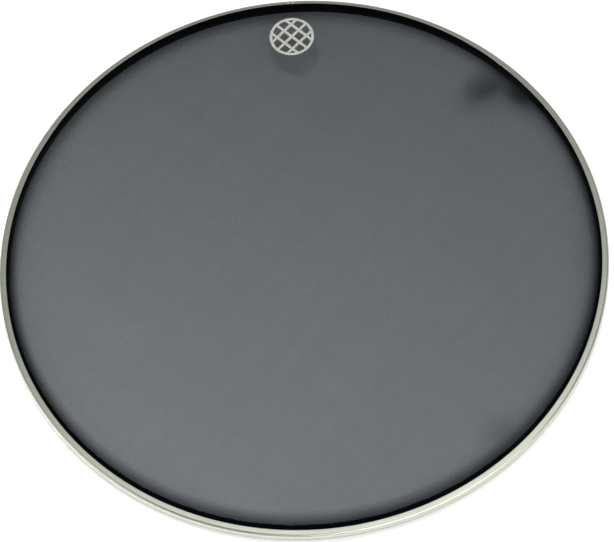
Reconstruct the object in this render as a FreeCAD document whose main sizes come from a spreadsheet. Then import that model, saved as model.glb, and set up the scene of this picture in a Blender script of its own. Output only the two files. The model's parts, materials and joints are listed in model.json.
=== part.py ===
"""Mesh drum head for a 14 inch drum, in millimetres.

The head lies with its playing side up. Its axis is Z and the foot of its hoop stands on Z = 0.
The cloth is wrapped round a wire ring that is cast into a rolled aluminium channel, the hoop.
"""
import FreeCAD
import Part
import Sketcher
import math
import os

# Driving sizes: alias, value, what it measures
SIZES = [
    ("shell_diameter", 355.6, "outside of the drum shell that the head fits"),
    ("shell_clearance", 1.0, "gap all round between the shell and the hoop's bore"),
    ("strip_thickness", 0.8, "aluminium strip of the hoop"),
    ("hoop_height", 6.5, "from the hoop's foot to the top of its lip"),
    ("foot_bend_radius", 1.6, "outside bends at the foot of the hoop"),
    ("lip_bend_radius", 1.0, "outside bend between the outer wall and the lip"),
    ("edge_radius", 0.3, "rounding of the strip's two cut edges"),
    ("inner_wall_drop", 1.3, "inner wall's edge below the top of the lip"),
    ("seam_gap", 1.2, "weld between the two ends of the hoop"),
    ("seam_bearing", 90.0, "direction of the weld, in degrees from X"),
    ("cloth_thickness", 0.5, "woven mesh"),
    ("cloth_side_gap", 0.1, "gap on each side of the cloth in the hoop's slot"),
    ("cloth_floor_gap", 0.5, "room for resin between the channel's floor and the cloth"),
    ("collar_height", 9.5, "rise of the playing surface above the lip"),
    ("collar_slope", 66.0, "slope of the collar, in degrees from level"),
    ("shoulder_radius", 8.0, "outside bend between the playing surface and the collar"),
    ("foot_radius", 3.0, "outside bend between the collar and the skirt"),
    ("wire_diameter", 1.6, "steel wire of the lock ring"),
    ("wire_gap", 0.3, "gap all round between the wire and what lies on it"),
    ("wire_end_gap", 3.0, "split between the two ends of the lock ring"),
    ("wire_end_bearing", 270.0, "direction of that split, in degrees from X"),
    ("bond_gap", 0.2, "gap between the resin and the cloth and outer wall beside it"),
    ("resin_wall", 1.0, "room for resin between the cloth's tail and the hoop's outer wall"),
    ("resin_cover", 0.6, "top of the resin above the cut edge of the cloth's tail"),
    ("lip_headspace", 0.5, "air between the resin and the lip"),
    ("mark_radius", 14.0, "outside of the printed ring"),
    ("mark_line_width", 1.7, "printed ring and bars"),
    ("mark_bar_pitch", 6.5, "middle to middle of the printed bars"),
    ("mark_bearing", 45.0, "direction of the printed bars, in degrees from X"),
    ("mark_inset", 20.7, "middle of the print from the edge of the flat playing area"),
    ("ink_thickness", 0.12, "ink on top of the cloth"),
]

# Hoop section, measured from the axis and from the foot
BORE = "sizes.shell_diameter / 2 + sizes.shell_clearance"
CHANNEL_IN = f"{BORE} + sizes.strip_thickness"
LIP_EDGE = f"{CHANNEL_IN} + sizes.cloth_thickness + 2 * sizes.cloth_side_gap"
LIP_UNDERSIDE = "sizes.hoop_height - sizes.strip_thickness"
INNER_WALL_TOP = "sizes.hoop_height - sizes.inner_wall_drop"
FOOT_BEND_INSIDE = "sizes.foot_bend_radius - sizes.strip_thickness"
LIP_BEND_INSIDE = "sizes.lip_bend_radius - sizes.strip_thickness"

# Cloth in the channel: skirt, turn under the wire and tail
SKIRT_IN = f"{CHANNEL_IN} + sizes.cloth_side_gap"
SKIRT_OUT = f"{SKIRT_IN} + sizes.cloth_thickness"
TURN_IN = "sizes.wire_diameter / 2 + sizes.wire_gap"
TURN_OUT = f"{TURN_IN} + sizes.cloth_thickness"
WIRE_RADIUS = f"{SKIRT_OUT} + {TURN_IN}"
WIRE_HEIGHT = f"sizes.strip_thickness + sizes.cloth_floor_gap + {TURN_OUT}"
TAIL_IN = f"{WIRE_RADIUS} + {TURN_IN}"
TAIL_OUT = f"{TAIL_IN} + sizes.cloth_thickness"
RESIN_TOP = f"{LIP_UNDERSIDE} - sizes.lip_headspace"
TAIL_TOP = f"{RESIN_TOP} - sizes.resin_cover"
CHANNEL_OUT = f"{TAIL_OUT} + sizes.resin_wall"
HOOP_OUT = f"{CHANNEL_OUT} + sizes.strip_thickness"

# Cloth above the hoop: the sharp corners that the shoulder and the collar's foot round off
PLAYING_TOP = "sizes.hoop_height + sizes.collar_height"
PLAYING_UNDERSIDE = f"{PLAYING_TOP} - sizes.cloth_thickness"
FOOT_BEND = "tan((90 - sizes.collar_slope) / 2)"
SHOULDER_BEND = "tan(sizes.collar_slope / 2)"
FOOT_TOP = f"sizes.hoop_height + sizes.foot_radius * {FOOT_BEND}"
FOOT_UNDERSIDE = f"{FOOT_TOP} - sizes.cloth_thickness * {FOOT_BEND}"
SHOULDER_OUT = f"{SKIRT_OUT} - ({PLAYING_TOP} - ({FOOT_TOP})) / tan(sizes.collar_slope)"
SHOULDER_IN = f"{SHOULDER_OUT} - sizes.cloth_thickness * {SHOULDER_BEND}"
SHOULDER_INSIDE = "sizes.shoulder_radius - sizes.cloth_thickness"
FOOT_INSIDE = "sizes.foot_radius - sizes.cloth_thickness"
PLAYING_RADIUS = f"{SHOULDER_OUT} - sizes.shoulder_radius * {SHOULDER_BEND}"

# Sides of a centre where a round turn starts or ends
LEFT = FreeCAD.Vector(-1, 0)
RIGHT = FreeCAD.Vector(1, 0)
BELOW = FreeCAD.Vector(0, -1)
BELOW_RIGHT = (BELOW + RIGHT).normalize()

# Ends of a sketch edge, its centre, and the sketch's own origin and axes
START = 1
END = 2
CENTRE = 3
AXIS_ACROSS = -1
AXIS_UP = -2

FULL_TURN = 360


def make_sheet(doc):
    """Write the driving sizes to the spreadsheet that every piece reads."""
    sheet = doc.addObject("Spreadsheet::Sheet", "sizes")
    for row, (alias, value, meaning) in enumerate(SIZES, start=1):
        sheet.set(f"A{row}", meaning)
        sheet.set(f"B{row}", str(value))
        sheet.setAlias(f"B{row}", alias)
    doc.recompute()
    return sheet


def corner(name, across, up, bend=None):
    """A corner of an outline, sharp or rounded by a bend radius."""
    return {"name": name, "across": across, "up": up, "bend": bend}


def turn(name, across, up, radius, start, middle, end):
    """A round turn about a centre, from one side of it by way of another to a third."""
    return {"name": name, "across": across, "up": up, "radius": radius, "sides": (start, middle, end)}


def new_body(doc, label, bearing=None):
    """A body with its label, turned about the axis to a bearing."""
    body = doc.addObject("PartDesign::Body", label)
    body.Label = label
    body.Placement = FreeCAD.Placement()
    if bearing:
        body.Placement.Rotation = FreeCAD.Rotation(FreeCAD.Vector(0, 0, 1), 0)
        body.setExpression("Placement.Rotation.Angle", bearing)
    return body


def new_sketch(body, name, role):
    """A sketch on one of the body's own origin planes."""
    sketch = body.newObject("Sketcher::SketchObject", name)
    plane = [item for item in body.Origin.OriginFeatures if item.Role == role][0]
    sketch.AttachmentSupport = [(plane, "")]
    sketch.MapMode = "FlatFace"
    return sketch


def bind(sketch, kind, items, name, expression):
    """Add a dimension to the sketch and tie it to the sizes."""
    value = sketch.evalExpression(expression)
    index = sketch.addConstraint(Sketcher.Constraint(kind, *items, float(value)))
    sketch.renameConstraint(index, name)
    sketch.setExpression(f"Constraints.{name}", expression)


def bind_place(sketch, edge, end, name, across, up):
    """Tie a point of the sketch to its distances from the two axes."""
    for kind, axis, label, expression in (("DistanceX", AXIS_UP, "across", across),
                                          ("DistanceY", AXIS_ACROSS, "up", up)):
        if expression == "0":
            sketch.addConstraint(Sketcher.Constraint("PointOnObject", edge, end, axis))
        else:
            bind(sketch, kind, (AXIS_ACROSS, START, edge, end), f"{name}_{label}", expression)


def stops_of(sketch, steps):
    """Work out where the outline reaches and leaves each of its steps."""
    def place(step):
        return FreeCAD.Vector(sketch.evalExpression(step["across"]), sketch.evalExpression(step["up"]))

    def side(step, which):
        if "sides" not in step:
            return place(step)
        return place(step) + step["sides"][which] * sketch.evalExpression(step["radius"])

    stops = []
    for number, step in enumerate(steps):
        here = place(step)
        if "sides" in step:
            stops.append((side(step, 0), side(step, 1), side(step, 2)))
        elif step["bend"] is None:
            stops.append((here, None, here))
        else:
            back = (side(steps[number - 1], 2) - here).normalize()
            ahead = (side(steps[(number + 1) % len(steps)], 0) - here).normalize()
            half = back.getAngle(ahead) / 2
            radius = sketch.evalExpression(step["bend"])
            inward = (back + ahead).normalize()
            middle = here + inward * (radius / math.sin(half) - radius)
            reach = radius / math.tan(half)
            stops.append((here + back * reach, middle, here + ahead * reach))
    return stops


def draw_outline(sketch, steps):
    """Draw a closed outline of straight runs between corners and round turns, fully tied to the sizes."""
    stops = stops_of(sketch, steps)
    count = len(steps)
    runs = []
    for number in range(count):
        leave = stops[number][2]
        reach = stops[(number + 1) % count][0]
        runs.append(sketch.addGeometry(Part.LineSegment(leave, reach)))
    for number, step in enumerate(steps):
        reach, middle, leave = stops[number]
        before = runs[number - 1]
        after = runs[number]
        if middle is None:
            sketch.addConstraint(Sketcher.Constraint("Coincident", before, END, after, START))
            bind_place(sketch, after, START, step["name"], step["across"], step["up"])
            continue
        arc = sketch.addGeometry(Part.Arc(reach, middle, leave))
        start_miss = sketch.getPoint(arc, START).distanceToPoint(reach)
        end_miss = sketch.getPoint(arc, END).distanceToPoint(reach)
        first, last = (START, END) if start_miss < end_miss else (END, START)
        if "sides" in step:
            join_turn(sketch, step, before, after, arc, first, last)
        else:
            join_bend(sketch, step, before, after, arc, first, last)
    if sketch.solve() != 0:
        raise RuntimeError(f"outline {sketch.Label} can't be solved")


def join_turn(sketch, step, before, after, arc, first, last):
    """Join a round turn to its runs and tie its centre and radius."""
    sketch.addConstraint(Sketcher.Constraint("Coincident", before, END, arc, first))
    sketch.addConstraint(Sketcher.Constraint("Coincident", arc, last, after, START))
    bind_place(sketch, arc, CENTRE, step["name"], step["across"], step["up"])
    bind(sketch, "Radius", (arc,), f"{step['name']}_radius", step["radius"])
    for end, side in ((first, step["sides"][0]), (last, step["sides"][2])):
        level = "Horizontal" if side.y == 0 else "Vertical"
        sketch.addConstraint(Sketcher.Constraint(level, arc, end, arc, CENTRE))


def join_bend(sketch, step, before, after, arc, first, last):
    """Join a bend to its runs and tie its radius and the sharp corner that it rounds."""
    sketch.addConstraint(Sketcher.Constraint("Tangent", before, END, arc, first))
    sketch.addConstraint(Sketcher.Constraint("Tangent", arc, last, after, START))
    bind(sketch, "Radius", (arc,), f"{step['name']}_bend", step["bend"])
    sharp = FreeCAD.Vector(sketch.evalExpression(step["across"]), sketch.evalExpression(step["up"]))
    point = sketch.addGeometry(Part.Point(sharp), True)
    sketch.addConstraint(Sketcher.Constraint("PointOnObject", point, START, before))
    sketch.addConstraint(Sketcher.Constraint("PointOnObject", point, START, after))
    bind_place(sketch, point, START, step["name"], step["across"], step["up"])


def spin(body, name, sketch, angle=None):
    """Turn a section about the head's axis, all round or by an angle that lies evenly about X."""
    ring = body.newObject("PartDesign::Revolution", name)
    ring.Profile = sketch
    ring.ReferenceAxis = (sketch, ["V_Axis"])
    ring.Angle = FULL_TURN
    if angle:
        ring.Midplane = True
        ring.setExpression("Angle", angle)
    sketch.Visibility = False
    return ring


def draw_channel(body):
    """Section of the hoop: inner wall, floor, outer wall and the lip rolled over it."""
    sketch = new_sketch(body, "channel_section", "XZ_Plane")
    draw_outline(sketch, [
        corner("bore_foot", BORE, "0", "sizes.foot_bend_radius"),
        corner("outer_foot", HOOP_OUT, "0", "sizes.foot_bend_radius"),
        corner("lip_bend", HOOP_OUT, "sizes.hoop_height", "sizes.lip_bend_radius"),
        corner("lip_edge_top", LIP_EDGE, "sizes.hoop_height", "sizes.edge_radius"),
        corner("lip_edge_underside", LIP_EDGE, LIP_UNDERSIDE, "sizes.edge_radius"),
        corner("lip_bend_inside", CHANNEL_OUT, LIP_UNDERSIDE, LIP_BEND_INSIDE),
        corner("outer_floor", CHANNEL_OUT, "sizes.strip_thickness", FOOT_BEND_INSIDE),
        corner("inner_floor", CHANNEL_IN, "sizes.strip_thickness", FOOT_BEND_INSIDE),
        corner("inner_wall_edge", CHANNEL_IN, INNER_WALL_TOP, "sizes.edge_radius"),
        corner("bore_edge", BORE, INNER_WALL_TOP, "sizes.edge_radius"),
    ])
    return sketch


def gap_angle(gap, radius):
    """Angle in degrees that a gap takes up at a radius."""
    return f"{gap} / ({radius}) * 180 / pi"


def make_hoop(doc):
    """The hoop is open at its seam, which lies opposite the middle of its turn."""
    body = new_body(doc, "hoop_channel", "sizes.seam_bearing - 180")
    seam = gap_angle("sizes.seam_gap", HOOP_OUT)
    spin(body, "hoop_turn", draw_channel(body), f"{FULL_TURN} - {seam}")
    return body


def make_seam(doc):
    """The weld fills the seam with the hoop's own section, ground flush."""
    body = new_body(doc, "seam_weld", "sizes.seam_bearing")
    spin(body, "weld_turn", draw_channel(body), gap_angle("sizes.seam_gap", HOOP_OUT))
    return body


def make_lock_ring(doc):
    """The lock ring is a round wire, split so that it can be sprung into the cloth's turn."""
    body = new_body(doc, "lock_ring", "sizes.wire_end_bearing - 180")
    sketch = new_sketch(body, "wire_section", "XZ_Plane")
    centre = FreeCAD.Vector(sketch.evalExpression(WIRE_RADIUS), sketch.evalExpression(WIRE_HEIGHT))
    radius = sketch.evalExpression("sizes.wire_diameter / 2")
    wire = sketch.addGeometry(Part.Circle(centre, FreeCAD.Vector(0, 0, 1), radius))
    bind_place(sketch, wire, CENTRE, "wire", WIRE_RADIUS, WIRE_HEIGHT)
    bind(sketch, "Radius", (wire,), "wire_radius", "sizes.wire_diameter / 2")
    split = gap_angle("sizes.wire_end_gap", WIRE_RADIUS)
    spin(body, "wire_turn", sketch, f"{FULL_TURN} - {split}")
    return body


def make_membrane(doc):
    """One cloth: playing area, shoulder, collar, skirt in the slot, turn under the wire and tail."""
    body = new_body(doc, "mesh_membrane")
    sketch = new_sketch(body, "cloth_section", "XZ_Plane")
    draw_outline(sketch, [
        corner("middle_top", "0", PLAYING_TOP),
        corner("shoulder", SHOULDER_OUT, PLAYING_TOP, "sizes.shoulder_radius"),
        corner("collar_foot", SKIRT_OUT, FOOT_TOP, "sizes.foot_radius"),
        turn("turn_on_wire", WIRE_RADIUS, WIRE_HEIGHT, TURN_IN, LEFT, BELOW, RIGHT),
        corner("tail_in", TAIL_IN, TAIL_TOP),
        corner("tail_out", TAIL_OUT, TAIL_TOP),
        turn("turn_outside", WIRE_RADIUS, WIRE_HEIGHT, TURN_OUT, RIGHT, BELOW, LEFT),
        corner("collar_foot_inside", SKIRT_IN, FOOT_UNDERSIDE, FOOT_INSIDE),
        corner("shoulder_inside", SHOULDER_IN, PLAYING_UNDERSIDE, SHOULDER_INSIDE),
        corner("middle_underside", "0", PLAYING_UNDERSIDE),
    ])
    spin(body, "cloth_turn", sketch)
    return body


def make_resin(doc):
    """Resin holds the cloth's tail: under it, outside it, over its cut edge and over the wire."""
    body = new_body(doc, "channel_resin")
    sketch = new_sketch(body, "resin_section", "XZ_Plane")
    skirt_side = f"{SKIRT_OUT} + sizes.bond_gap"
    tail_side_in = f"{TAIL_IN} - sizes.bond_gap"
    tail_side_out = f"{TAIL_OUT} + sizes.bond_gap"
    tail_cover = f"{TAIL_TOP} + sizes.bond_gap"
    wire_cover = f"{WIRE_HEIGHT} + {TURN_IN}"
    under_turn = f"{TURN_OUT} + sizes.bond_gap"
    wall_side = f"{CHANNEL_OUT} - sizes.bond_gap"
    draw_outline(sketch, [
        corner("top_in", skirt_side, RESIN_TOP),
        corner("over_wire_in", skirt_side, wire_cover),
        corner("over_wire_out", tail_side_in, wire_cover),
        corner("tail_in", tail_side_in, tail_cover),
        corner("tail_out", tail_side_out, tail_cover),
        turn("under_cloth", WIRE_RADIUS, WIRE_HEIGHT, under_turn, RIGHT, BELOW_RIGHT, BELOW),
        corner("floor_in", WIRE_RADIUS, "sizes.strip_thickness"),
        corner("floor_out", wall_side, "sizes.strip_thickness", FOOT_BEND_INSIDE),
        corner("top_out", wall_side, RESIN_TOP),
    ])
    spin(body, "resin_turn", sketch)
    return body


def pad_ink(body, name, sketch):
    """Give a printed outline the thickness of the ink."""
    ink = body.newObject("PartDesign::Pad", name)
    ink.Profile = sketch
    ink.setExpression("Length", "sizes.ink_thickness")
    sketch.Visibility = False
    return ink


def make_mark(doc):
    """The print is a plain ring with three bars each way, woven like the cloth."""
    body = new_body(doc, "printed_mark", "sizes.mark_bearing")
    body.setExpression("Placement.Base.y", f"{PLAYING_RADIUS} - sizes.mark_inset")
    body.setExpression("Placement.Base.z", PLAYING_TOP)

    ring = new_sketch(body, "ring_outline", "XY_Plane")
    ring_middle = "sizes.mark_radius - sizes.mark_line_width / 2"
    for name, radius in (("ring_outside", "sizes.mark_radius"),
                         ("ring_inside", "sizes.mark_radius - sizes.mark_line_width")):
        size = ring.evalExpression(radius)
        circle = ring.addGeometry(Part.Circle(FreeCAD.Vector(0, 0, 0), FreeCAD.Vector(0, 0, 1), size))
        ring.addConstraint(Sketcher.Constraint("Coincident", circle, CENTRE, AXIS_ACROSS, START))
        bind(ring, "Radius", (circle,), name, radius)
    pad_ink(body, "ring_ink", ring)

    bars = new_sketch(body, "bar_outlines", "XY_Plane")
    half_width = "sizes.mark_line_width / 2"
    for place in (-1, 0, 1):
        middle = f"{place} * sizes.mark_bar_pitch"
        reach = f"sqrt(({ring_middle}) ^ 2 - ({middle}) ^ 2)"
        draw_outline(bars, [
            corner(f"bar_{place + 1}_near_left", f"-{reach}", f"{middle} - {half_width}"),
            corner(f"bar_{place + 1}_near_right", reach, f"{middle} - {half_width}"),
            corner(f"bar_{place + 1}_far_right", reach, f"{middle} + {half_width}"),
            corner(f"bar_{place + 1}_far_left", f"-{reach}", f"{middle} + {half_width}"),
        ])
    bar_ink = pad_ink(body, "bar_ink", bars)
    doc.recompute()
    lattice = body.newObject("PartDesign::PolarPattern", "lattice")
    lattice.Originals = [bar_ink]
    lattice.Axis = (bars, ["N_Axis"])
    lattice.Angle = FULL_TURN / 4
    lattice.Occurrences = 2
    body.Tip = lattice
    return body


def check(doc, pieces):
    """Stop before anything is written if an object failed or a piece isn't one sound solid."""
    for item in doc.Objects:
        if "Invalid" in item.State or "Error" in item.State:
            raise RuntimeError(f"{item.Label} failed: {item.State}")
    for piece in pieces:
        shape = piece.Shape
        if shape.isNull() or not shape.isValid() or len(shape.Solids) != 1:
            raise RuntimeError(f"{piece.Label} is not one sound solid")


def main():
    """Build every piece, check it and write it to its own file."""
    doc = FreeCAD.newDocument("mesh_drum_head")
    make_sheet(doc)
    makers = (make_hoop, make_seam, make_lock_ring, make_membrane, make_resin, make_mark)
    pieces = [make(doc) for make in makers]
    doc.recompute()
    check(doc, pieces)
    os.makedirs("parts", exist_ok=True)
    for piece in pieces:
        piece.Shape.exportStep(f"parts/{piece.Label}.step")
        box = piece.Shape.optimalBoundingBox()
        print(f"{piece.Label}: volume {piece.Shape.Volume:.1f}, radius {box.XMax:.2f}, "
              f"height {box.ZMin:.2f} to {box.ZMax:.2f}")


main()
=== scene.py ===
"""Look of a mesh drum head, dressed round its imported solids, in metres.

The hoop, its weld and the cloth are modelled here.
The print, the lock ring and the resin keep their solids.
"""
import json
import math

import bmesh
import bpy
from bpy.props import FloatProperty, FloatVectorProperty, PointerProperty
from bpy.types import Operator, Panel, PropertyGroup
from mathutils import Matrix, Vector


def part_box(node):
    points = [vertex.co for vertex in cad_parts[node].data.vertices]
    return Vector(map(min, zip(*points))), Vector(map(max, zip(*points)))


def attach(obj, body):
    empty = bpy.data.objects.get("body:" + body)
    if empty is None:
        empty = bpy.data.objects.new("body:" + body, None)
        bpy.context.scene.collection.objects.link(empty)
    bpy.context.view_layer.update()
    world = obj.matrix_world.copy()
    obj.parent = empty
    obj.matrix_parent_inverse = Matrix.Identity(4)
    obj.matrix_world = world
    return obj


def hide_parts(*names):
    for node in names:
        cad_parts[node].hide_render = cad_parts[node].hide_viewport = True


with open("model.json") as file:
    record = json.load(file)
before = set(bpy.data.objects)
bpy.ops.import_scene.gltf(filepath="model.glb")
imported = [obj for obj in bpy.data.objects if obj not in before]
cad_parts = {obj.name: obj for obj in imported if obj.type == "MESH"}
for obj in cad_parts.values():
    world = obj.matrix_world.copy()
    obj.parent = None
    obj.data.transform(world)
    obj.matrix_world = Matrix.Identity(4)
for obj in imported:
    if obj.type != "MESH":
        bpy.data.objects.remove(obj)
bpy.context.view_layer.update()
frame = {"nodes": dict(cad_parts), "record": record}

bl_info = {
    "name": "Mesh drum head",
    "version": (1, 0, 0),
    "blender": (4, 5, 0),
    "location": "3D View > Sidebar > Drum head",
    "description": "Dresses a drum head: hoop, weld, woven cloth, print, inner pieces and stage",
    "category": "Object",
}

MM = 0.001

# Sizes that the solids and the record give
MOUNTS = {mount["name"]: mount for mount in frame["record"]["mounts"]}
BORE = MOUNTS["shell_seat"]["dims"]["r_mm"] * MM
OUTSIDE = MOUNTS["counterhoop_seat"]["dims"]["r_mm"] * MM
HOOP_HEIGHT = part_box("hoop_channel")[1].z
PLAYING_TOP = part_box("mesh_membrane")[1].z
RESIN_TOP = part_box("channel_resin")[1].z

# The photograph's frame, and how large the hoop is in it
PHOTO_WIDTH = 614
HOOP_RADIUS_PIXELS = 305.1
LIP_LEFT_PIXELS = 4.4
LIP_UP_PIXELS = 18.6

# Evenness of the meshes
TURN_STEPS = 360
WELD_STEPS = 4
RIGHT_ANGLE_SEGMENTS = 8
FLAT_CUTS = 48
MERGE_DISTANCE = 0.001 * MM

# What the cloth's mesh carries: each point's reach along the cloth, its place on the flat cut, its crushing
REACH = "reach"
FLAT_CUT = "flat_cut"
CRUSHED = "crushed"

# Dents in the cloth: bearing in degrees, sizes in millimetres, and how much more the crushed cloth hides
DENTS = (
    {"bearing": 42.5, "radius": 162, "across": 14, "along": 9, "depth": 5.0, "cover": 0.2},
    {"bearing": 36.0, "radius": 173, "across": 7, "along": 11, "depth": 5.0, "cover": 0.3},
    {"bearing": -48.5, "radius": 169, "across": 11, "along": 13, "depth": 3.0, "cover": 0.06},
)

# Threads: spread of their width, distances over which it varies, sharpness of edges, lift at crossings
THREAD_SPREAD = 0.25
UNEVEN_ACROSS = 9 * MM
UNEVEN_ALONG = 140 * MM
THREAD_SHARPNESS = 12.0
OVER_AND_UNDER = 0.35

# Most of a noise pattern lies between these
NOISE_LOW = 0.25
NOISE_HIGH = 0.75

# Real sizes of the other patterns
# The soaked foot's uneven edge, which also bounds its painted shade
SOAKED_SHADE_CREEP = 1.2 * MM
SOAKED_SHADE_CREEP_SPACING = 6 * MM
SOAKED_SHADE_EDGE = 1.0 * MM
DUST_SPACING = 25 * MM
ROLLING_LINE = 0.35 * MM
HANDLING_MARK = 12 * MM
WIRE_LINE = 0.1 * MM
RESIN_WAVE = 5 * MM

# How far patterns change a colour or a roughness, and how much ink bridges the openings
DUST_SPREAD = 0.2
SATIN_SPREAD = 0.2
MARK_SHADE = 0.9
INK_SHADE = 0.6
INK_BRIDGE = 0.55

# The bore's inner face, drawn near-black as painted shade for the hoop's dark recess: how deep into the
# strip it is drawn, and its fading edge
PAINTED_SHADE_DEPTH = 0.5 * MM
PAINTED_SHADE_EDGE = 0.2 * MM

# The floor, and the white that it adds for the eye from under the hoop on: near, behind and far away
FLOOR_RADIUS = 20 * OUTSIDE
FLOOR_SEGMENTS = 64
LIFT_UNDER_HOOP = 2 * MM
LIFT_NEAR = 0.12
LIFT_BEHIND = 0.5
LIFT_FAR = 0.75
LIFT_FAR_START = 2 * OUTSIDE
LIFT_FAR_END = 8 * OUTSIDE

# The white wall of the room fades out between these two rises of the view, where 1 is straight up
WALL_FADE_START = 0.2
WALL_FADE_END = 0.35

# Soft lamps: place, aim and size in metres, power in watts, spread in degrees, mirrored by metal or not
LAMPS = (
    {"name": "key softbox", "place": (-0.72, 0.3, 1.3), "aim": (-0.68, -0.32, 0),
     "wide": 1.6, "deep": 0.5, "power": 3.65, "spread": 50, "mirrored": False},
    {"name": "front softbox", "place": (0.4, -0.6, 0.8), "aim": (0.14, -0.2, 0),
     "wide": 0.9, "deep": 0.5, "power": 5.1, "spread": 180, "mirrored": True},
    {"name": "side softbox", "place": (-1.1, -0.4, 0.7), "aim": (0, 0, 0),
     "wide": 0.8, "deep": 0.6, "power": 2.2, "spread": 180, "mirrored": True},
    {"name": "lip softbox", "place": (0.12, 0.38, 1.5), "aim": (0, 0, 0),
     "wide": 0.9, "deep": 0.46, "power": 2.3, "spread": 180, "mirrored": True},
)

# Colour sockets of the Mix node, whose names its number sockets share
MIX_FIRST = 6
MIX_SECOND = 7
MIX_RESULT = 2


def linear(code):
    """Turn an sRGB hex colour into the linear colour that shaders take."""
    shares = [int(code[start:start + 2], 16) / 255 for start in (0, 2, 4)]
    return tuple(s / 12.92 if s <= 0.04045 else ((s + 0.055) / 1.055) ** 2.4 for s in shares)


class HoopSettings(PropertyGroup):
    """Section and finish of the rolled hoop and its weld."""

    strip: FloatProperty(
        name="Strip", description="Thickness of the aluminium strip",
        default=0.8 * MM, min=0, precision=5, unit="LENGTH")
    foot_bend: FloatProperty(
        name="Foot bend", description="Outside radius of the two bends at the foot",
        default=1.6 * MM, min=0, precision=5, unit="LENGTH")
    lip_bend: FloatProperty(
        name="Lip bend", description="Outside radius of the bend between outer wall and lip",
        default=1.6 * MM, min=0, precision=5, unit="LENGTH")
    edge_round: FloatProperty(
        name="Edge rounding", description="Rounding of the strip's cut edges",
        default=0.3 * MM, min=0, precision=5, unit="LENGTH")
    inner_wall_drop: FloatProperty(
        name="Inner wall drop", description="Inner wall's edge below the top of the lip",
        default=1.3 * MM, min=0, precision=5, unit="LENGTH")
    seam_gap: FloatProperty(
        name="Seam", description="Width of the weld between the two ends of the hoop",
        default=1.2 * MM, min=0, precision=5, unit="LENGTH")
    seam_bearing: FloatProperty(
        name="Seam bearing", description="Direction of the weld from X",
        default=math.radians(90), subtype="ANGLE")
    metal: FloatVectorProperty(
        name="Aluminium", description="Colour of the rolled aluminium",
        default=linear("cacec0"), size=3, min=0, max=1, subtype="COLOR")
    metal_roughness: FloatProperty(
        name="Aluminium roughness", description="Roughness of the rolled aluminium",
        default=0.32, min=0, max=1)
    weld_metal: FloatVectorProperty(
        name="Weld", description="Colour of the ground weld",
        default=linear("bec2b6"), size=3, min=0, max=1, subtype="COLOR")
    weld_roughness: FloatProperty(
        name="Weld roughness", description="Roughness of the ground weld",
        default=0.4, min=0, max=1)
    # Painted shade: a near-black band on the bore's inner face, for the dark recess inside the hoop
    painted_shade: FloatVectorProperty(
        name="Film", description="Colour of the dark film on the bore",
        default=linear("0c0f11"), size=3, min=0, max=1, subtype="COLOR")


class ClothSettings(PropertyGroup):
    """Shape and weave of the cloth, and the ink on it."""

    thickness: FloatProperty(
        name="Thickness", description="Thickness of the woven cloth",
        default=0.5 * MM, min=0, precision=5, unit="LENGTH")
    side_gap: FloatProperty(
        name="Side gap", description="Gap on each side of the cloth in the hoop's slot",
        default=0.1 * MM, min=0, precision=5, unit="LENGTH")
    floor_gap: FloatProperty(
        name="Floor gap", description="Gap between the channel's floor and the cloth",
        default=0.5 * MM, min=0, precision=5, unit="LENGTH")
    wire: FloatProperty(
        name="Lock ring wire", description="Diameter of the wire that the cloth turns round",
        default=1.6 * MM, min=0, precision=5, unit="LENGTH")
    wire_gap: FloatProperty(
        name="Wire gap", description="Gap between the wire and the cloth round it",
        default=0.3 * MM, min=0, precision=5, unit="LENGTH")
    tail_cover: FloatProperty(
        name="Tail cover", description="Resin over the cut edge of the cloth",
        default=0.6 * MM, min=0, precision=5, unit="LENGTH")
    slope: FloatProperty(
        name="Collar slope", description="Slope of the collar from level",
        default=math.radians(66), subtype="ANGLE")
    shoulder_bend: FloatProperty(
        name="Shoulder", description="Outside radius between playing area and collar",
        default=8.0 * MM, min=0, precision=5, unit="LENGTH")
    foot_bend: FloatProperty(
        name="Collar foot", description="Outside radius between collar and skirt",
        default=3.0 * MM, min=0, precision=5, unit="LENGTH")
    # The soaked foot is partly resin and partly painted shade in the crevice beside the hoop's lip
    soak_and_shade: FloatProperty(
        name="Soaked foot", description="Length of cloth above the lip that resin has filled",
        default=3.4 * MM, min=0, precision=5, unit="LENGTH")
    pitch: FloatProperty(
        name="Thread pitch", description="Spacing of the threads as drawn",
        default=1.1 * MM, min=0.01 * MM, precision=5, unit="LENGTH")
    thread: FloatProperty(
        name="Thread width", description="Width of a thread as drawn",
        default=0.5 * MM, min=0.01 * MM, precision=5, unit="LENGTH")
    thread_cover: FloatProperty(
        name="Thread cover", description="How much a drawn thread hides at each face of the cloth",
        default=0.17, min=0, max=1)
    opening_cover: FloatProperty(
        name="Opening cover", description="How much a drawn opening hides at each face of the cloth",
        default=0.03, min=0, max=1)
    collar_cover: FloatProperty(
        name="Collar cover", description="How much more the denser cloth at the collar's foot hides",
        default=0.34, min=0, max=1)
    depth_loss: FloatProperty(
        name="Loss in depth", description="Light that the cloth takes per metre of the way through it",
        default=1250, min=0)
    depth_tint: FloatVectorProperty(
        name="Tint in depth", description="Colour of which the cloth takes less light",
        default=linear("003c4e"), size=3, min=0, max=1, subtype="COLOR")
    bearing: FloatProperty(
        name="Thread bearing", description="Direction of the threads from X",
        default=math.radians(42), subtype="ANGLE")
    yarn: FloatVectorProperty(
        name="Thread", description="Colour of the threads",
        default=linear("191b1d"), size=3, min=0, max=1, subtype="COLOR")
    # Painted shade: this near-black also stands for the shade in the crevice beside the lip
    soaked_yarn_and_shade: FloatVectorProperty(
        name="Soaked thread", description="Colour of the threads that resin has filled",
        default=linear("070a0d"), size=3, min=0, max=1, subtype="COLOR")
    ink: FloatVectorProperty(
        name="Ink", description="Colour of the print",
        default=linear("d5d8cc"), size=3, min=0, max=1, subtype="COLOR")


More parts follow.
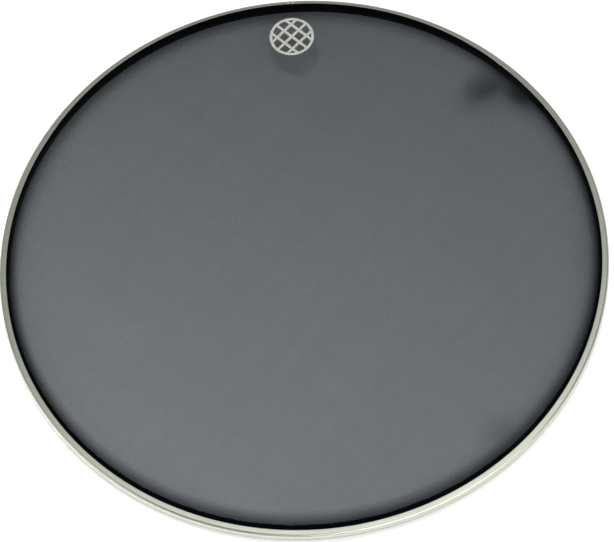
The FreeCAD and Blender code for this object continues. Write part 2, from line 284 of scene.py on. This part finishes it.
class InnerSettings(PropertyGroup):
    """Finish of the pieces inside the hoop."""

    wire_metal: FloatVectorProperty(
        name="Wire", description="Colour of the lock ring's steel wire",
        default=linear("a9a8a6"), size=3, min=0, max=1, subtype="COLOR")
    resin: FloatVectorProperty(
        name="Resin", description="Colour of the cast resin",
        default=linear("17181a"), size=3, min=0, max=1, subtype="COLOR")


class StageSettings(PropertyGroup):
    """Floor, light and camera."""

    floor: FloatVectorProperty(
        name="Floor", description="Colour of the floor",
        default=linear("f8f8f8"), size=3, min=0, max=1, subtype="COLOR")
    room_light: FloatProperty(
        name="Room light", description="Strength of the even light from all round",
        default=0.3, min=0)
    elevation: FloatProperty(
        name="Camera elevation", description="Height of the camera above the horizon",
        default=math.radians(61.2), subtype="ANGLE")
    azimuth: FloatProperty(
        name="Camera azimuth", description="Turn of the camera about the head",
        default=math.radians(2.75), subtype="ANGLE")
    roll: FloatProperty(
        name="Camera roll", description="Lean of the camera, which lifts the head's right side",
        default=math.radians(5.91), subtype="ANGLE")
    distance: FloatProperty(
        name="Camera distance", description="From the camera to the hoop's lip",
        default=8 * OUTSIDE, min=0, unit="LENGTH")


def add(tree, kind, inputs, **settings):
    """Add a node, with its settings, and fill its inputs with values or with other nodes' outputs."""
    node = tree.nodes.new(kind)
    for name, value in settings.items():
        setattr(node, name, value)
    for key, value in inputs.items():
        if isinstance(value, bpy.types.NodeSocket):
            tree.links.new(value, node.inputs[key])
        else:
            node.inputs[key].default_value = value
    return node


def new_material(name):
    """A material with a principled shader, its tree and that shader."""
    material = bpy.data.materials.new(name)
    material.use_nodes = True
    tree = material.node_tree
    return material, tree, tree.nodes["Principled BSDF"]


def tinted(colour, share=1.0):
    """A share of a colour, with the alpha that a colour socket takes."""
    return (*[part * share for part in colour], 1)


def from_axis(tree, place):
    """The distance of a place from the head's axis."""
    flat = add(tree, "ShaderNodeVectorMath", {0: place, 1: (1, 1, 0)}, operation="MULTIPLY")
    length = add(tree, "ShaderNodeVectorMath", {0: flat.outputs["Vector"]}, operation="LENGTH")
    return length.outputs["Value"]


def seen_or_mirrored(tree):
    """1 for a ray that shows a surface, straight, mirrored or through glass, and 0 for one that lights."""
    rays = add(tree, "ShaderNodeLightPath", {}).outputs
    mirrored = add(tree, "ShaderNodeMath", {0: rays["Is Glossy Ray"], 1: rays["Is Transmission Ray"]},
                   operation="MAXIMUM").outputs[0]
    return add(tree, "ShaderNodeMath", {0: rays["Is Camera Ray"], 1: mirrored},
               operation="MAXIMUM").outputs[0]


def weave(tree, flat, cloth):
    """Cover and height of a plain weave. Cover is 1 on a thread and 0 in an opening."""
    turned = add(tree, "ShaderNodeMapping", {
        "Vector": flat,
        "Rotation": (0, 0, cloth.bearing),
        "Scale": (1 / cloth.pitch, 1 / cloth.pitch, 1),
    }).outputs["Vector"]
    place = add(tree, "ShaderNodeSeparateXYZ", {"Vector": turned}).outputs
    waves = []
    for side in ("X", "Y"):
        phase = add(tree, "ShaderNodeMath", {0: place[side], 1: math.pi}, operation="MULTIPLY")
        waves.append(add(tree, "ShaderNodeMath", {0: phase.outputs[0]}, operation="COSINE"))
    ripple = add(tree, "ShaderNodeMath", {0: waves[0].outputs[0], 1: waves[1].outputs[0]},
                 operation="MULTIPLY").outputs[0]
    across_share = cloth.pitch / UNEVEN_ACROSS
    along_share = cloth.pitch / UNEVEN_ALONG
    half = cloth.thread / cloth.pitch / 2
    covers = []
    heights = []
    for side, scale, lift in (("X", (across_share, along_share, 1), OVER_AND_UNDER),
                              ("Y", (along_share, across_share, 1), -OVER_AND_UNDER)):
        run = add(tree, "ShaderNodeMapping", {"Vector": turned, "Scale": scale})
        uneven = add(tree, "ShaderNodeTexNoise", {
            "Vector": run.outputs["Vector"], "Scale": 1.0, "Detail": 4.0, "Roughness": 0.7,
        }, noise_dimensions="2D").outputs["Fac"]
        width = add(tree, "ShaderNodeMapRange", {
            "Value": uneven, "From Min": NOISE_LOW, "From Max": NOISE_HIGH,
            "To Min": half * (1 - THREAD_SPREAD), "To Max": half * (1 + THREAD_SPREAD),
        }).outputs["Result"]
        middle = add(tree, "ShaderNodeMath", {0: place[side], 1: 0.5}, operation="PINGPONG").outputs[0]
        inside = add(tree, "ShaderNodeMath", {0: width, 1: middle}, operation="SUBTRACT").outputs[0]
        covers.append(add(tree, "ShaderNodeMath", {0: inside, 1: THREAD_SHARPNESS, 2: 0.5},
                          operation="MULTIPLY_ADD", use_clamp=True).outputs[0])
        heights.append(add(tree, "ShaderNodeMath", {0: ripple, 1: lift, 2: inside},
                           operation="MULTIPLY_ADD").outputs[0])
    cover = add(tree, "ShaderNodeMath", {0: covers[0], 1: covers[1]}, operation="MAXIMUM")
    height = add(tree, "ShaderNodeMath", {0: heights[0], 1: heights[1]}, operation="MAXIMUM")
    return cover.outputs[0], height.outputs[0]


def woven_polyester(cloth, flat_reach, soak_and_shade_start):
    """Black polyester in a fine open plain weave: a smoky film from afar, which goes black at a slant.

    The real threads lie about 0.4 mm apart, finer than the render shows. Each drawn thread and opening
    stands for several real ones, so neither is quite solid or clear. The cloth also takes light in its
    depth, as the sides of the threads do when the way through is slanted.
    """
    material, tree, shader = new_material("black polyester, plain woven")
    flat = add(tree, "ShaderNodeUVMap", {}, uv_map=FLAT_CUT).outputs["UV"]
    cover, height = weave(tree, flat, cloth)

    # The foot of the collar is soaked with resin up to an uneven edge, and drawn solid and near-black:
    # resin, and painted shade in the crevice beside the lip
    reach = add(tree, "ShaderNodeVectorMath", {0: flat}, operation="LENGTH").outputs["Value"]
    creep = add(tree, "ShaderNodeTexNoise", {
        "Vector": flat, "Scale": 1 / SOAKED_SHADE_CREEP_SPACING, "Detail": 2.0,
    }, noise_dimensions="2D").outputs["Fac"]
    uneven = add(tree, "ShaderNodeMath", {0: creep, 1: SOAKED_SHADE_CREEP, 2: reach},
                 operation="MULTIPLY_ADD").outputs[0]
    soaked_and_shaded = add(tree, "ShaderNodeMapRange", {
        "Value": uneven, "From Min": soak_and_shade_start, "From Max": soak_and_shade_start + SOAKED_SHADE_EDGE,
    }, interpolation_type="SMOOTHSTEP").outputs["Result"]

    # The weave hides more towards the collar's foot, where it is crushed, and where it is soaked and drawn
    # solid as painted shade
    woven = add(tree, "ShaderNodeMapRange", {
        "Value": cover, "To Min": cloth.opening_cover, "To Max": cloth.thread_cover,
    }).outputs["Result"]
    drawn_in = add(tree, "ShaderNodeMapRange", {
        "Value": reach, "From Min": flat_reach, "From Max": soak_and_shade_start, "To Max": cloth.collar_cover,
    }, interpolation_type="SMOOTHSTEP").outputs["Result"]
    dense = add(tree, "ShaderNodeMath", {0: woven, 1: drawn_in}, operation="ADD").outputs[0]
    crushed = add(tree, "ShaderNodeAttribute", {}, attribute_name=CRUSHED).outputs["Fac"]
    pressed = add(tree, "ShaderNodeMath", {0: dense, 1: crushed},
                  operation="ADD", use_clamp=True).outputs[0]
    alpha = add(tree, "ShaderNodeMath", {0: pressed, 1: soaked_and_shaded}, operation="MAXIMUM").outputs[0]
    tree.links.new(alpha, shader.inputs["Alpha"])

    bump = add(tree, "ShaderNodeBump", {"Height": height, "Strength": 0.5, "Distance": cloth.thread / 2})
    tree.links.new(bump.outputs["Normal"], shader.inputs["Normal"])
    dust = add(tree, "ShaderNodeTexNoise", {
        "Vector": flat, "Scale": 1 / DUST_SPACING, "Detail": 4.0,
    }, noise_dimensions="2D").outputs["Fac"]
    tone = add(tree, "ShaderNodeMix", {
        "Factor": dust,
        MIX_FIRST: tinted(cloth.yarn, 1 - DUST_SPREAD),
        MIX_SECOND: tinted(cloth.yarn, 1 + DUST_SPREAD),
    }, data_type="RGBA").outputs[MIX_RESULT]
    # Painted shade: the soaked foot's near-black colour also stands for the shade in the crevice beside the
    # lip
    black = add(tree, "ShaderNodeMix", {
        "Factor": soaked_and_shaded, MIX_FIRST: tone, MIX_SECOND: tinted(cloth.soaked_yarn_and_shade),
    }, data_type="RGBA").outputs[MIX_RESULT]
    tree.links.new(black, shader.inputs["Base Color"])
    shader.inputs["Roughness"].default_value = 0.8
    shader.inputs["Specular IOR Level"].default_value = 0.0
    depth = add(tree, "ShaderNodeVolumeAbsorption", {
        "Color": tinted(cloth.depth_tint), "Density": cloth.depth_loss,
    }).outputs["Volume"]
    tree.links.new(depth, tree.nodes["Material Output"].inputs["Volume"])
    return material


def satin_aluminium(name, colour, roughness, painted_shade_colour):
    """Rolled aluminium strip, satin: soft reflections, broken by fine lines that run round the hoop, with
    painted shade on the bore.
    """
    material, tree, shader = new_material(name)
    place = add(tree, "ShaderNodeTexCoord", {}).outputs["Object"]
    radius = from_axis(tree, place)
    height = add(tree, "ShaderNodeSeparateXYZ", {"Vector": place}).outputs["Z"]
    section = add(tree, "ShaderNodeCombineXYZ", {"X": radius, "Y": height}).outputs["Vector"]
    lines = add(tree, "ShaderNodeTexNoise", {
        "Vector": section, "Scale": 1 / ROLLING_LINE, "Detail": 3.0,
    }, noise_dimensions="2D").outputs["Fac"]
    marks = add(tree, "ShaderNodeTexNoise", {
        "Vector": place, "Scale": 1 / HANDLING_MARK, "Detail": 5.0, "Roughness": 0.65,
    }).outputs["Fac"]
    both = add(tree, "ShaderNodeMath", {0: lines, 1: marks}, operation="ADD").outputs[0]
    satin = add(tree, "ShaderNodeMapRange", {
        "Value": both, "From Min": 0.6, "From Max": 1.4,
        "To Min": roughness * (1 - SATIN_SPREAD), "To Max": roughness * (1 + SATIN_SPREAD),
    }).outputs["Result"]
    tone = add(tree, "ShaderNodeMix", {
        "Factor": both, MIX_FIRST: tinted(colour, MARK_SHADE), MIX_SECOND: tinted(colour),
    }, data_type="RGBA").outputs[MIX_RESULT]
    # Painted shade: the bore's inner face is drawn near-black, for the dark recess inside the hoop
    painted_shade = add(tree, "ShaderNodeMapRange", {
        "Value": radius, "From Min": BORE + PAINTED_SHADE_DEPTH, "From Max": BORE + PAINTED_SHADE_DEPTH + PAINTED_SHADE_EDGE,
        "To Min": 1.0, "To Max": 0.0,
    }).outputs["Result"]
    tone_with_painted_shade = add(tree, "ShaderNodeMix", {
        "Factor": painted_shade, MIX_FIRST: tone, MIX_SECOND: tinted(painted_shade_colour),
    }, data_type="RGBA").outputs[MIX_RESULT]
    bump = add(tree, "ShaderNodeBump", {"Height": lines, "Strength": 0.15, "Distance": 0.02 * MM})
    tree.links.new(tone_with_painted_shade, shader.inputs["Base Color"])
    tree.links.new(satin, shader.inputs["Roughness"])
    tree.links.new(bump.outputs["Normal"], shader.inputs["Normal"])
    shader.inputs["Metallic"].default_value = 1.0
    return material


def screen_ink(cloth):
    """Pale screen ink on the cloth: it lies on the threads and bridges only part of each opening."""
    material, tree, shader = new_material("pale ink, screen printed")
    place = add(tree, "ShaderNodeTexCoord", {}).outputs["Object"]
    cover, height = weave(tree, place, cloth)
    filled = add(tree, "ShaderNodeMapRange", {
        "Value": cover, "To Min": INK_BRIDGE, "To Max": 1.0,
    }).outputs["Result"]
    tone = add(tree, "ShaderNodeMix", {
        "Factor": cover, MIX_FIRST: tinted(cloth.ink, INK_SHADE), MIX_SECOND: tinted(cloth.ink),
    }, data_type="RGBA").outputs[MIX_RESULT]
    bump = add(tree, "ShaderNodeBump", {"Height": height, "Strength": 0.4, "Distance": cloth.thread / 2})
    tree.links.new(filled, shader.inputs["Alpha"])
    tree.links.new(tone, shader.inputs["Base Color"])
    tree.links.new(bump.outputs["Normal"], shader.inputs["Normal"])
    shader.inputs["Roughness"].default_value = 0.6
    return material


def drawn_wire(colour):
    """Drawn steel wire: grey, with fine lines along it."""
    material, tree, shader = new_material("steel wire, drawn")
    place = add(tree, "ShaderNodeTexCoord", {}).outputs["Object"]
    lines = add(tree, "ShaderNodeTexNoise", {
        "W": from_axis(tree, place), "Scale": 1 / WIRE_LINE,
    }, noise_dimensions="1D")
    satin = add(tree, "ShaderNodeMapRange", {
        "Value": lines.outputs["Fac"], "To Min": 0.25, "To Max": 0.45,
    }).outputs["Result"]
    tree.links.new(satin, shader.inputs["Roughness"])
    shader.inputs["Base Color"].default_value = tinted(colour)
    shader.inputs["Metallic"].default_value = 1.0
    return material


def cast_resin(colour):
    """Black resin cast in the channel: glossy, with a slightly wavy skin."""
    material, tree, shader = new_material("black resin, cast")
    place = add(tree, "ShaderNodeTexCoord", {}).outputs["Object"]
    skin = add(tree, "ShaderNodeTexNoise", {
        "Vector": place, "Scale": 1 / RESIN_WAVE, "Detail": 2.0,
    }).outputs["Fac"]
    gloss = add(tree, "ShaderNodeMapRange", {
        "Value": skin, "To Min": 0.15, "To Max": 0.35,
    }).outputs["Result"]
    bump = add(tree, "ShaderNodeBump", {"Height": skin, "Strength": 0.3, "Distance": 0.1 * MM})
    tree.links.new(gloss, shader.inputs["Roughness"])
    tree.links.new(bump.outputs["Normal"], shader.inputs["Normal"])
    shader.inputs["Base Color"].default_value = tinted(colour)
    return material


def matte_board(colour):
    """Matte white board: even, without gloss, and lifted to white for the eye outside the hoop."""
    material, tree, shader = new_material("white board, matte")
    shader.inputs["Base Color"].default_value = tinted(colour)
    shader.inputs["Roughness"].default_value = 1.0
    shader.inputs["Specular IOR Level"].default_value = 0.0
    place = add(tree, "ShaderNodeTexCoord", {}).outputs["Object"]
    radius = add(tree, "ShaderNodeVectorMath", {0: place}, operation="LENGTH").outputs["Value"]
    outside = add(tree, "ShaderNodeMath", {0: radius, 1: OUTSIDE - LIFT_UNDER_HOOP},
                  operation="GREATER_THAN").outputs[0]
    lift = add(tree, "ShaderNodeMath", {0: outside, 1: seen_or_mirrored(tree)},
               operation="MULTIPLY").outputs[0]
    back = add(tree, "ShaderNodeSeparateXYZ", {"Vector": place}).outputs["Y"]
    behind = add(tree, "ShaderNodeMapRange", {
        "Value": back, "From Min": -OUTSIDE, "From Max": OUTSIDE,
        "To Min": LIFT_NEAR, "To Max": LIFT_BEHIND,
    }).outputs["Result"]
    far = add(tree, "ShaderNodeMapRange", {
        "Value": radius, "From Min": LIFT_FAR_START, "From Max": LIFT_FAR_END,
        "To Min": LIFT_NEAR, "To Max": LIFT_FAR,
    }).outputs["Result"]
    need = add(tree, "ShaderNodeMath", {0: behind, 1: far}, operation="MAXIMUM").outputs[0]
    glow = add(tree, "ShaderNodeMath", {0: lift, 1: need}, operation="MULTIPLY").outputs[0]
    shader.inputs["Emission Color"].default_value = (1, 1, 1, 1)
    tree.links.new(glow, shader.inputs["Emission Strength"])
    return material


def white_studio(level):
    """Even room light, and a white wall low down all round that is seen and mirrored but lights nothing."""
    world = bpy.data.worlds.new("studio")
    world.use_nodes = True
    tree = world.node_tree
    way = add(tree, "ShaderNodeTexCoord", {}).outputs["Generated"]
    rise = add(tree, "ShaderNodeSeparateXYZ", {"Vector": way}).outputs["Z"]
    wall = add(tree, "ShaderNodeMapRange", {
        "Value": rise, "From Min": WALL_FADE_START, "From Max": WALL_FADE_END,
        "To Min": 1.0, "To Max": 0.0,
    }).outputs["Result"]
    white = add(tree, "ShaderNodeMath", {0: wall, 1: seen_or_mirrored(tree)},
                operation="MULTIPLY").outputs[0]
    strength = add(tree, "ShaderNodeMapRange", {
        "Value": white, "To Min": level, "To Max": 1.0,
    }).outputs["Result"]
    room = tree.nodes["Background"]
    room.inputs["Color"].default_value = (1, 1, 1, 1)
    tree.links.new(strength, room.inputs["Strength"])
    return world


def draw_line(work, corners, closed):
    """Draw straight runs in the section plane and round each corner by its bend."""
    line = [work.verts.new((across, 0, up)) for across, up, _ in corners]
    ends = line[1:] + line[:1] if closed else line[1:]
    for first, second in zip(line, ends):
        work.edges.new((first, second))
    for vert, (_, _, bend) in zip(line, corners):
        if bend > 0:
            before, after = (edge.other_vert(vert).co - vert.co for edge in vert.link_edges)
            bent = math.pi - before.angle(after)
            segments = max(2, round(RIGHT_ANGLE_SEGMENTS * bent / (math.pi / 2)))
            bmesh.ops.bevel(work, geom=[vert], offset=bend * math.tan(bent / 2), offset_type="OFFSET",
                            segments=segments, profile=0.5, affect="VERTICES", material=-1)
    bmesh.ops.remove_doubles(work, verts=work.verts[:], dist=MERGE_DISTANCE)


def finish_mesh(work, name, material, replaced):
    """Make the mesh an object that rides on the head and stands for a solid."""
    for face in work.faces:
        face.smooth = True
    mesh = bpy.data.meshes.new(name)
    work.to_mesh(mesh)
    work.free()
    mesh.materials.append(material)
    piece = bpy.data.objects.new(name, mesh)
    bpy.context.scene.collection.objects.link(piece)
    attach(piece, "root")
    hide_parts(replaced)
    return piece


def turn_channel(hoop, cloth, start, angle, steps):
    """Spin the hoop's section about the axis, from a bearing and by an angle, and close its two ends."""
    channel_in = BORE + hoop.strip
    channel_out = OUTSIDE - hoop.strip
    lip_edge = channel_in + cloth.thickness + 2 * cloth.side_gap
    lip_underside = HOOP_HEIGHT - hoop.strip
    wall_top = HOOP_HEIGHT - hoop.inner_wall_drop
    foot_inside = hoop.foot_bend - hoop.strip
    lip_inside = hoop.lip_bend - hoop.strip
    work = bmesh.new()
    draw_line(work, [
        (BORE, 0, hoop.foot_bend),
        (OUTSIDE, 0, hoop.foot_bend),
        (OUTSIDE, HOOP_HEIGHT, hoop.lip_bend),
        (lip_edge, HOOP_HEIGHT, hoop.edge_round),
        (lip_edge, lip_underside, hoop.edge_round),
        (channel_out, lip_underside, lip_inside),
        (channel_out, hoop.strip, foot_inside),
        (channel_in, hoop.strip, foot_inside),
        (channel_in, wall_top, hoop.edge_round),
        (BORE, wall_top, hoop.edge_round),
    ], closed=True)
    bmesh.ops.rotate(work, verts=work.verts[:], cent=(0, 0, 0), matrix=Matrix.Rotation(start, 3, "Z"))
    bmesh.ops.spin(work, geom=work.verts[:] + work.edges[:], cent=(0, 0, 0), axis=(0, 0, 1),
                   angle=angle, steps=steps)
    ends = [edge for edge in work.edges if edge.is_boundary]
    for edge in ends:
        edge.smooth = False
    bmesh.ops.edgeloop_fill(work, edges=ends)
    bmesh.ops.recalc_face_normals(work, faces=work.faces[:])
    return work


def draw_cloth(hoop, cloth):
    """Draw the middle line of the cloth's section, from the head's middle to the cut edge."""
    half = cloth.thickness / 2
    skirt = BORE + hoop.strip + cloth.side_gap + half
    turn = cloth.wire / 2 + cloth.wire_gap + half
    tail = skirt + 2 * turn
    turn_foot = hoop.strip + cloth.floor_gap + half
    foot_shift = math.tan((math.pi / 2 - cloth.slope) / 2)
    foot_up = HOOP_HEIGHT + (cloth.foot_bend - half) * foot_shift
    middle_up = PLAYING_TOP - half
    shoulder = skirt - (middle_up - foot_up) / math.tan(cloth.slope)
    work = bmesh.new()
    draw_line(work, [
        (0, middle_up, 0),
        (shoulder, middle_up, cloth.shoulder_bend - half),
        (skirt, foot_up, cloth.foot_bend - half),
        (skirt, turn_foot, turn),
        (tail, turn_foot, turn),
        (tail, RESIN_TOP - cloth.tail_cover, 0),
    ], closed=False)
    flat_run = max(work.edges, key=lambda edge: edge.calc_length())
    bmesh.ops.subdivide_edges(work, edges=[flat_run], cuts=FLAT_CUTS)
    return work


def note_reach(work):
    """Note on each point of the cloth's line how far along the cloth it lies from the middle."""
    layer = work.verts.layers.float.new(REACH)
    here = min(work.verts, key=lambda vert: vert.co.x)
    reach = 0.0
    passed = {here}
    while here is not None:
        here[layer] = reach
        ahead = [edge.other_vert(here) for edge in here.link_edges if edge.other_vert(here) not in passed]
        onward = ahead[0] if ahead else None
        if onward is not None:
            reach += (onward.co - here.co).length
            passed.add(onward)
        here = onward
    return reach


def lay_flat(work):
    """Give the cloth a map of the flat cut: each point keeps its bearing, at its reach from the middle."""
    layer = work.verts.layers.float[REACH]
    chart = work.loops.layers.uv.new(FLAT_CUT)
    for face in work.faces:
        for loop in face.loops:
            across = loop.vert.co.xy
            bearing = across.normalized() if across.length > MERGE_DISTANCE else Vector((0, 0))
            loop[chart].uv = bearing * loop.vert[layer]


def press_dents(work):
    """Press shallow dents near the cloth's shoulder, and note how much more the crushed cloth hides."""
    layer = work.verts.layers.float.new(CRUSHED)
    for dent in DENTS:
        bearing = math.radians(dent["bearing"])
        outward = Vector((math.cos(bearing), math.sin(bearing)))
        sideways = Vector((-outward.y, outward.x))
        centre = outward * dent["radius"] * MM
        for vert in work.verts:
            if vert.co.z < HOOP_HEIGHT:
                continue
            away = (vert.co.xy - centre) / MM
            share = (away.dot(outward) / dent["across"]) ** 2 + (away.dot(sideways) / dent["along"]) ** 2
            pressed = math.exp(-share)
            free = (vert.co.z - HOOP_HEIGHT) / (PLAYING_TOP - HOOP_HEIGHT)
            vert.co.z -= dent["depth"] * MM * free * pressed
            vert[layer] += dent["cover"] * pressed


class DRUMHEAD_OT_hoop(Operator):
    """Roll the aluminium hoop, open at its seam"""

    bl_idname = "drumhead.hoop"
    bl_label = "Hoop"

    def execute(self, context):
        hoop = context.scene.drumhead_hoop
        cloth = context.scene.drumhead_cloth
        seam = hoop.seam_gap / OUTSIDE
        work = turn_channel(hoop, cloth, hoop.seam_bearing + seam / 2, 2 * math.pi - seam, TURN_STEPS)
        metal = satin_aluminium(
            "aluminium strip, rolled satin", hoop.metal, hoop.metal_roughness, hoop.painted_shade)
        piece = finish_mesh(work, "rolled_hoop", metal, "hoop_channel")
        piece.modifiers.new("even_flats", "WEIGHTED_NORMAL")
        return {"FINISHED"}


class DRUMHEAD_OT_weld(Operator):
    """Fill the hoop's seam with its weld, ground flush"""

    bl_idname = "drumhead.weld"
    bl_label = "Weld"

    def execute(self, context):
        hoop = context.scene.drumhead_hoop
        cloth = context.scene.drumhead_cloth
        seam = hoop.seam_gap / OUTSIDE
        work = turn_channel(hoop, cloth, hoop.seam_bearing - seam / 2, seam, WELD_STEPS)
        metal = satin_aluminium(
            "aluminium weld, ground", hoop.weld_metal, hoop.weld_roughness, hoop.painted_shade)
        piece = finish_mesh(work, "ground_weld", metal, "seam_weld")
        piece.modifiers.new("even_flats", "WEIGHTED_NORMAL")
        return {"FINISHED"}


class DRUMHEAD_OT_cloth(Operator):
    """Stretch the woven cloth over the collar and round the lock ring"""

    bl_idname = "drumhead.cloth"
    bl_label = "Cloth"

    def execute(self, context):
        hoop = context.scene.drumhead_hoop
        cloth = context.scene.drumhead_cloth
        work = draw_cloth(hoop, cloth)
        reach = note_reach(work)
        layer = work.verts.layers.float[REACH]
        top = max(vert.co.z for vert in work.verts)
        flat_reach = max(vert[layer] for vert in work.verts if vert.co.z > top - MERGE_DISTANCE)
        lip_reach = min(vert[layer] for vert in work.verts if vert.co.z < HOOP_HEIGHT + MERGE_DISTANCE)
        bmesh.ops.spin(work, geom=work.verts[:] + work.edges[:], cent=(0, 0, 0), axis=(0, 0, 1),
                       angle=2 * math.pi, steps=TURN_STEPS, use_merge=True)
        bmesh.ops.remove_doubles(work, verts=work.verts[:], dist=MERGE_DISTANCE)
        bmesh.ops.recalc_face_normals(work, faces=work.faces[:])
        lay_flat(work)
        press_dents(work)
        weave_finish = woven_polyester(cloth, flat_reach, lip_reach - cloth.soak_and_shade)
        piece = finish_mesh(work, "woven_head", weave_finish, "mesh_membrane")
        wall = piece.modifiers.new("thickness", "SOLIDIFY")
        wall.thickness = cloth.thickness
        wall.offset = 0
        return {"FINISHED"}


class DRUMHEAD_OT_print(Operator):
    """Ink the printed mark"""

    bl_idname = "drumhead.print"
    bl_label = "Print"

    def execute(self, context):
        mark = frame["nodes"]["printed_mark"]
        mark.data.materials.clear()
        mark.data.materials.append(screen_ink(context.scene.drumhead_cloth))
        return {"FINISHED"}


class DRUMHEAD_OT_inner(Operator):
    """Finish the lock ring and the resin inside the hoop"""

    bl_idname = "drumhead.inner"
    bl_label = "Lock ring and resin"

    def execute(self, context):
        inner = context.scene.drumhead_inner
        finishes = {"lock_ring": drawn_wire(inner.wire_metal), "channel_resin": cast_resin(inner.resin)}
        for name, finish in finishes.items():
            node = frame["nodes"][name]
            node.data.materials.clear()
            node.data.materials.append(finish)
        return {"FINISHED"}


class DRUMHEAD_OT_stage(Operator):
    """Set the floor, the soft light and the camera"""

    bl_idname = "drumhead.stage"
    bl_label = "Stage"

    def execute(self, context):
        stage = context.scene.drumhead_stage
        scene = context.scene
        scene.view_settings.view_transform = "Standard"

        work = bmesh.new()
        bmesh.ops.create_circle(work, cap_ends=True, segments=FLOOR_SEGMENTS, radius=FLOOR_RADIUS)
        mesh = bpy.data.meshes.new("floor")
        work.to_mesh(mesh)
        work.free()
        mesh.materials.append(matte_board(stage.floor))
        floor = bpy.data.objects.new("floor", mesh)
        scene.collection.objects.link(floor)

        scene.world = white_studio(stage.room_light)

        for given in LAMPS:
            lamp = bpy.data.lights.new(given["name"], "AREA")
            lamp.shape = "RECTANGLE"
            lamp.size = given["wide"]
            lamp.size_y = given["deep"]
            lamp.energy = given["power"]
            lamp.spread = math.radians(given["spread"])
            softbox = bpy.data.objects.new(given["name"], lamp)
            way = Vector(given["aim"]) - Vector(given["place"])
            softbox.location = given["place"]
            softbox.rotation_euler = way.to_track_quat("-Z", "Y").to_euler()
            softbox.visible_glossy = given["mirrored"]
            scene.collection.objects.link(softbox)

        lens = bpy.data.cameras.new("camera")
        focal_pixels = HOOP_RADIUS_PIXELS * stage.distance / OUTSIDE
        lens.lens = lens.sensor_width * focal_pixels / PHOTO_WIDTH
        camera = bpy.data.objects.new("camera", lens)
        turned = (Matrix.Rotation(stage.azimuth, 4, "Z")
                  @ Matrix.Rotation(math.pi / 2 - stage.elevation, 4, "X")
                  @ Matrix.Rotation(-stage.roll, 4, "Z"))
        stand = Vector((0, 0, HOOP_HEIGHT)) + turned @ Vector((0, 0, stage.distance))
        aimed = (turned
                 @ Matrix.Rotation(-math.atan(LIP_UP_PIXELS / focal_pixels), 4, "X")
                 @ Matrix.Rotation(-math.atan(LIP_LEFT_PIXELS / focal_pixels), 4, "Y"))
        camera.matrix_world = Matrix.Translation(stand) @ aimed
        scene.collection.objects.link(camera)
        scene.camera = camera
        return {"FINISHED"}


GROUPS = {
    "drumhead_hoop": HoopSettings,
    "drumhead_cloth": ClothSettings,
    "drumhead_inner": InnerSettings,
    "drumhead_stage": StageSettings,
}
STEPS = (
    DRUMHEAD_OT_hoop,
    DRUMHEAD_OT_weld,
    DRUMHEAD_OT_cloth,
    DRUMHEAD_OT_print,
    DRUMHEAD_OT_inner,
    DRUMHEAD_OT_stage,
)


class DRUMHEAD_PT_panel(Panel):
    """The steps that dress the drum head, with their settings"""

    bl_idname = "DRUMHEAD_PT_panel"
    bl_label = "Drum head"
    bl_space_type = "VIEW_3D"
    bl_region_type = "UI"
    bl_category = "Drum head"

    def draw(self, context):
        for step in STEPS:
            self.layout.operator(step.bl_idname)
        for group in GROUPS:
            settings = getattr(context.scene, group)
            box = self.layout.box()
            for name in settings.__annotations__:
                box.prop(settings, name)


def register():
    """Add the settings, the steps and the panel to Blender."""
    for name, group in GROUPS.items():
        bpy.utils.register_class(group)
        setattr(bpy.types.Scene, name, PointerProperty(type=group))
    for entry in (*STEPS, DRUMHEAD_PT_panel):
        bpy.utils.register_class(entry)


def unregister():
    """Take the panel, the steps and the settings out of Blender again."""
    for entry in (DRUMHEAD_PT_panel, *reversed(STEPS)):
        bpy.utils.unregister_class(entry)
    for name, group in GROUPS.items():
        delattr(bpy.types.Scene, name)
        bpy.utils.unregister_class(group)


def main():
    """Dress the head step by step."""
    register()
    bpy.ops.drumhead.hoop()
    bpy.ops.drumhead.weld()
    bpy.ops.drumhead.cloth()
    bpy.ops.drumhead.print()
    bpy.ops.drumhead.inner()
    bpy.ops.drumhead.stage()


if __name__ == "__main__":
    main()
